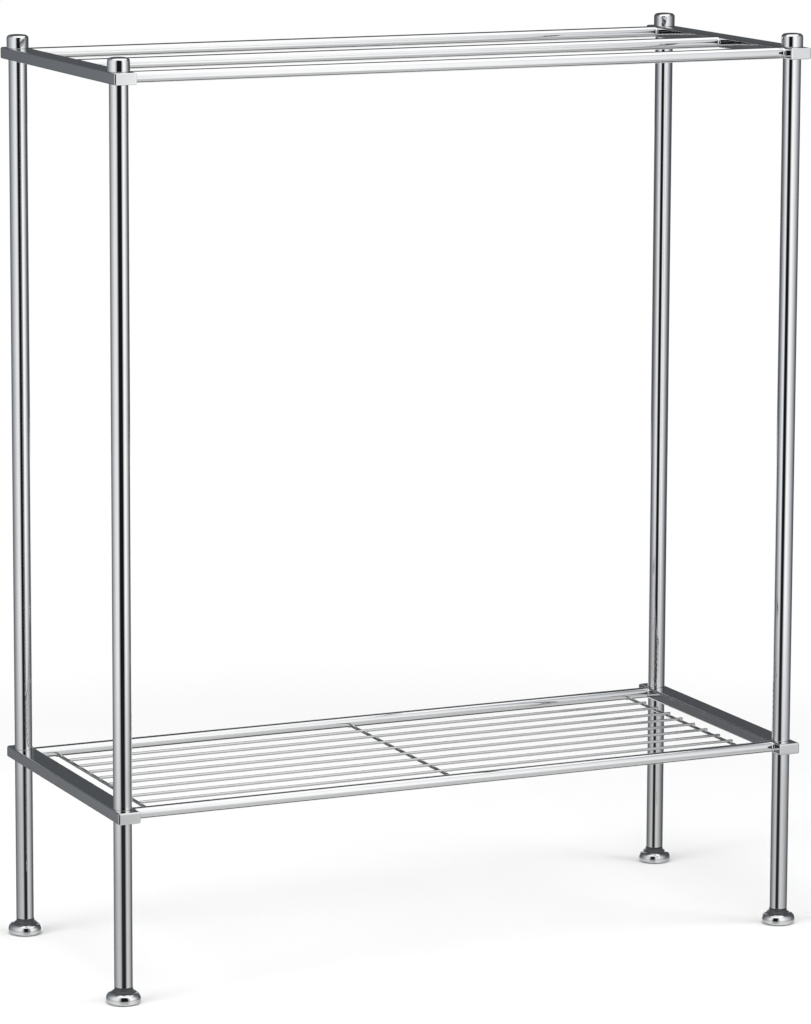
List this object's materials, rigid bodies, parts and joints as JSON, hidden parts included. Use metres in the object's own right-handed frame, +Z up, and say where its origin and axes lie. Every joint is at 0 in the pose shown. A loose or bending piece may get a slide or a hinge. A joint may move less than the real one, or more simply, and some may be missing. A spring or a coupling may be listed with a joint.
{
  "type": "towel stand",
  "caption": "Free-standing chromed towel stand: hanging rails between end bars on round posts, a low wire shelf and screw-in levelling feet; holds towels to dry.",
  "frame": {"origin": "on the floor, under the middle of the stand", "axes": "+X to the stand's right along the rails, +Y to its back, +Z up"},
  "size_m": [0.66, 0.273, 0.8],
  "materials": {
    "chrome_tube": "chrome-plated round steel tube",
    "chrome_bar": "chrome-plated rectangular steel tube",
    "chrome_wire": "chrome-plated drawn steel wire",
    "chrome_turned": "chrome-plated turned steel",
    "zinc_steel": "zinc-plated threaded steel",
    "rubber_pad": "moulded non-slip rubber"
  },
  "bodies": {
    "frame": {"cap_back_left": "chrome_turned", "cap_back_right": "chrome_turned", "cap_front_left": "chrome_turned", "cap_front_right": "chrome_turned", "cap_studs": "zinc_steel", "hanging_rail_back": "chrome_tube", "hanging_rail_front": "chrome_tube", "hanging_rail_middle": "chrome_tube", "leg_back_left": "chrome_tube", "leg_back_right": "chrome_tube", "leg_bottom_inserts": "zinc_steel", "leg_front_left": "chrome_tube", "leg_front_right": "chrome_tube", "leg_studs": "zinc_steel", "leg_top_inserts": "zinc_steel", "post_back_left": "chrome_tube", "post_back_right": "chrome_tube", "post_bottom_inserts": "zinc_steel", "post_front_left": "chrome_tube", "post_front_right": "chrome_tube", "post_top_inserts": "zinc_steel", "shelf_bar_end_back_left": "chrome_bar", "shelf_bar_end_back_right": "chrome_bar", "shelf_bar_end_front_left": "chrome_bar", "shelf_bar_end_front_right": "chrome_bar", "shelf_bar_left": "chrome_bar", "shelf_bar_right": "chrome_bar", "shelf_cross_wire_centre": "chrome_wire", "shelf_cross_wire_left": "chrome_wire", "shelf_cross_wire_right": "chrome_wire", "shelf_rail_back": "chrome_tube", "shelf_rail_front": "chrome_tube", "shelf_wire_1": "chrome_wire", "shelf_wire_2": "chrome_wire", "shelf_wire_3": "chrome_wire", "shelf_wire_4": "chrome_wire", "shelf_wire_5": "chrome_wire", "shelf_wire_6": "chrome_wire", "shelf_wire_7": "chrome_wire", "shelf_wire_8": "chrome_wire", "top_bar_end_back_left": "chrome_bar", "top_bar_end_back_right": "chrome_bar", "top_bar_end_front_left": "chrome_bar", "top_bar_end_front_right": "chrome_bar", "top_bar_left": "chrome_bar", "top_bar_right": "chrome_bar"},
    "levelling_foot_front_left": {"foot_front_left": "chrome_turned", "foot_spindle_front_left": "zinc_steel", "foot_pad_front_left": "rubber_pad"},
    "levelling_foot_front_right": {"foot_front_right": "chrome_turned", "foot_spindle_front_right": "zinc_steel", "foot_pad_front_right": "rubber_pad"},
    "levelling_foot_back_left": {"foot_back_left": "chrome_turned", "foot_spindle_back_left": "zinc_steel", "foot_pad_back_left": "rubber_pad"},
    "levelling_foot_back_right": {"foot_back_right": "chrome_turned", "foot_spindle_back_right": "zinc_steel", "foot_pad_back_right": "rubber_pad"}
  },
  "joints": [
    {"name": "foot_front_left_height", "type": "slide", "parent": "frame", "child": "levelling_foot_front_left", "axis": [0, 0, -1], "range_m": [0, 0.006]},
    {"name": "foot_front_right_height", "type": "slide", "parent": "frame", "child": "levelling_foot_front_right", "axis": [0, 0, -1], "range_m": [0, 0.006]},
    {"name": "foot_back_left_height", "type": "slide", "parent": "frame", "child": "levelling_foot_back_left", "axis": [0, 0, -1], "range_m": [0, 0.006]},
    {"name": "foot_back_right_height", "type": "slide", "parent": "frame", "child": "levelling_foot_back_right", "axis": [0, 0, -1], "range_m": [0, 0.006]}
  ]
}
